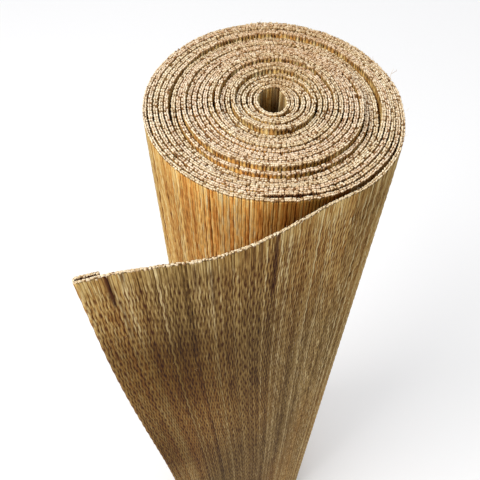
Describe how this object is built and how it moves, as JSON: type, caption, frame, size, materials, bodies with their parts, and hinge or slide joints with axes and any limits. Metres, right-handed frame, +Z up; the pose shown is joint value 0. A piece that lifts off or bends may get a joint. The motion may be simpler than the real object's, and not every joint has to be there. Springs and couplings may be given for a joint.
{
  "type": "roll of straw matting",
  "caption": "Upright roll of woven straw matting around a small open core, with its outer end hanging loose and turned back in a narrow hem.",
  "frame": {"origin": "on the floor, under the middle of the whole shape's box; the roll's own axis stands 19 mm toward +X and 39 mm toward +Y of it", "axes": "+Z up along the roll and along its straws, -Y toward the front, where the loose end hangs, which runs out toward -X"},
  "size_m": [0.2796, 0.328, 1.205],
  "materials": {
    "straw": "dry woven straw, matte with a faint waxy sheen along each stem"
  },
  "bodies": {
    "root": {"mat": "straw"}
  },
  "joints": []
}
